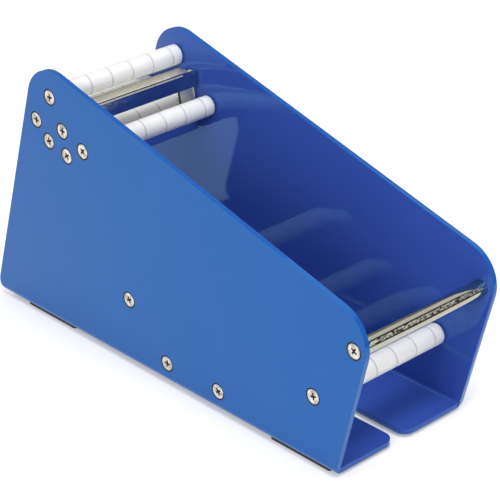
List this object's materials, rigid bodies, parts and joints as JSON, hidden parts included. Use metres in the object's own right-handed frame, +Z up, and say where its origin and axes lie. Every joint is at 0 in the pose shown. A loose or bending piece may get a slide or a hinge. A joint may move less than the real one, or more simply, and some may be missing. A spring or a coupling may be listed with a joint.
{
  "type": "label dispenser",
  "caption": "Bench label dispenser: two bent side plates carry grooved rollers, a front rod, flat bars with a peel edge and a guide strap; the roll lies on the lower rollers.",
  "frame": {"origin": "middle of the overall box, at the underside of the rubber feet", "axes": "+X towards the low front where the roll is loaded, +Y from the near side plate to the far one, +Z up"},
  "size_m": [0.3186, 0.1, 0.168],
  "materials": {
    "blue_powder_coat": "glossy powder coat",
    "white_plastic": "satin, turned",
    "bright_steel": "ground bar",
    "chrome_plate": "bright plated",
    "zinc_screws": "bright zinc",
    "black_rubber": "matte"
  },
  "bodies": {
    "frame": {"near_side_plate": "blue_powder_coat", "far_side_plate": "blue_powder_coat", "infeed_roller_shaft": "bright_steel", "guide_roller_shaft": "bright_steel", "cradle_roller_rear_shaft": "bright_steel", "cradle_roller_middle_shaft": "bright_steel", "cradle_roller_front_shaft": "bright_steel", "outfeed_roller_shaft": "bright_steel", "front_rod": "chrome_plate", "front_bar": "chrome_plate", "peel_bar": "chrome_plate", "guide_strap": "chrome_plate", "near_screws": "zinc_screws", "far_screws": "zinc_screws", "near_rear_foot": "black_rubber", "near_front_foot": "black_rubber", "far_rear_foot": "black_rubber", "far_front_foot": "black_rubber"},
    "infeed_roller_body": {"infeed_roller": "white_plastic"},
    "guide_roller_body": {"guide_roller": "white_plastic"},
    "cradle_roller_rear_body": {"cradle_roller_rear": "white_plastic"},
    "cradle_roller_middle_body": {"cradle_roller_middle": "white_plastic"},
    "cradle_roller_front_body": {"cradle_roller_front": "white_plastic"},
    "outfeed_roller_body": {"outfeed_roller": "white_plastic"}
  },
  "joints": [
    {"name": "infeed_roller_spin", "type": "hinge", "parent": "frame", "child": "infeed_roller_body", "pos_m": [-0.09249, 0, 0.15121], "axis": [0, 1, 0], "continuous": true},
    {"name": "guide_roller_spin", "type": "hinge", "parent": "frame", "child": "guide_roller_body", "pos_m": [-0.06451, 0, 0.12596], "axis": [0, 1, 0], "continuous": true},
    {"name": "cradle_roller_rear_spin", "type": "hinge", "parent": "frame", "child": "cradle_roller_rear_body", "pos_m": [-0.02955, 0, 0.0437], "axis": [0, 1, 0], "continuous": true},
    {"name": "cradle_roller_middle_spin", "type": "hinge", "parent": "frame", "child": "cradle_roller_middle_body", "pos_m": [0.00225, 0, 0.0145], "axis": [0, 1, 0], "continuous": true},
    {"name": "cradle_roller_front_spin", "type": "hinge", "parent": "frame", "child": "cradle_roller_front_body", "pos_m": [0.04575, 0, 0.0145], "axis": [0, 1, 0], "continuous": true},
    {"name": "outfeed_roller_spin", "type": "hinge", "parent": "frame", "child": "outfeed_roller_body", "pos_m": [0.12127, 0, 0.0437], "axis": [0, 1, 0], "continuous": true}
  ]
}
